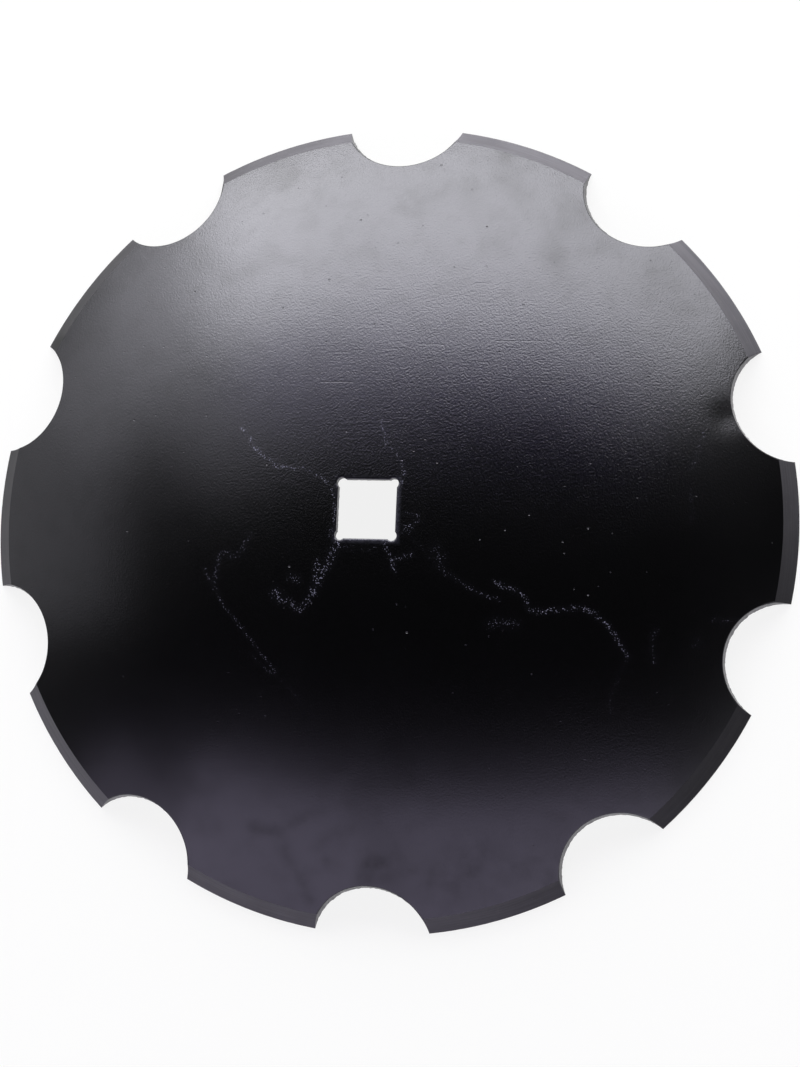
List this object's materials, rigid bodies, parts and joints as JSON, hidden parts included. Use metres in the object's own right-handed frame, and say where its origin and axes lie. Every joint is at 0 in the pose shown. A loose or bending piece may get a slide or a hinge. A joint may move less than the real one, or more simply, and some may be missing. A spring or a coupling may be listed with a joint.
{
  "type": "notched harrow disc blade",
  "caption": "Dished steel disc for a disc harrow, with round notches and a sharpened bevel at its rim and a square shaft hole at its centre.",
  "frame": {"origin": "centre of the circle that the rim rests on, below the shaft hole", "axes": "+Z along the disc's axis, from the hollow side to the rounded side; +Y through the middle of a notch; the hole's sides lie along X and Y"},
  "size_m": [0.56, 0.5544, 0.0836],
  "materials": {
    "blade": "semi-gloss black paint over rolled steel, with fine ripple, pits and pale dust"
  },
  "bodies": {
    "root": {"disc_blade": "blade"}
  },
  "joints": []
}
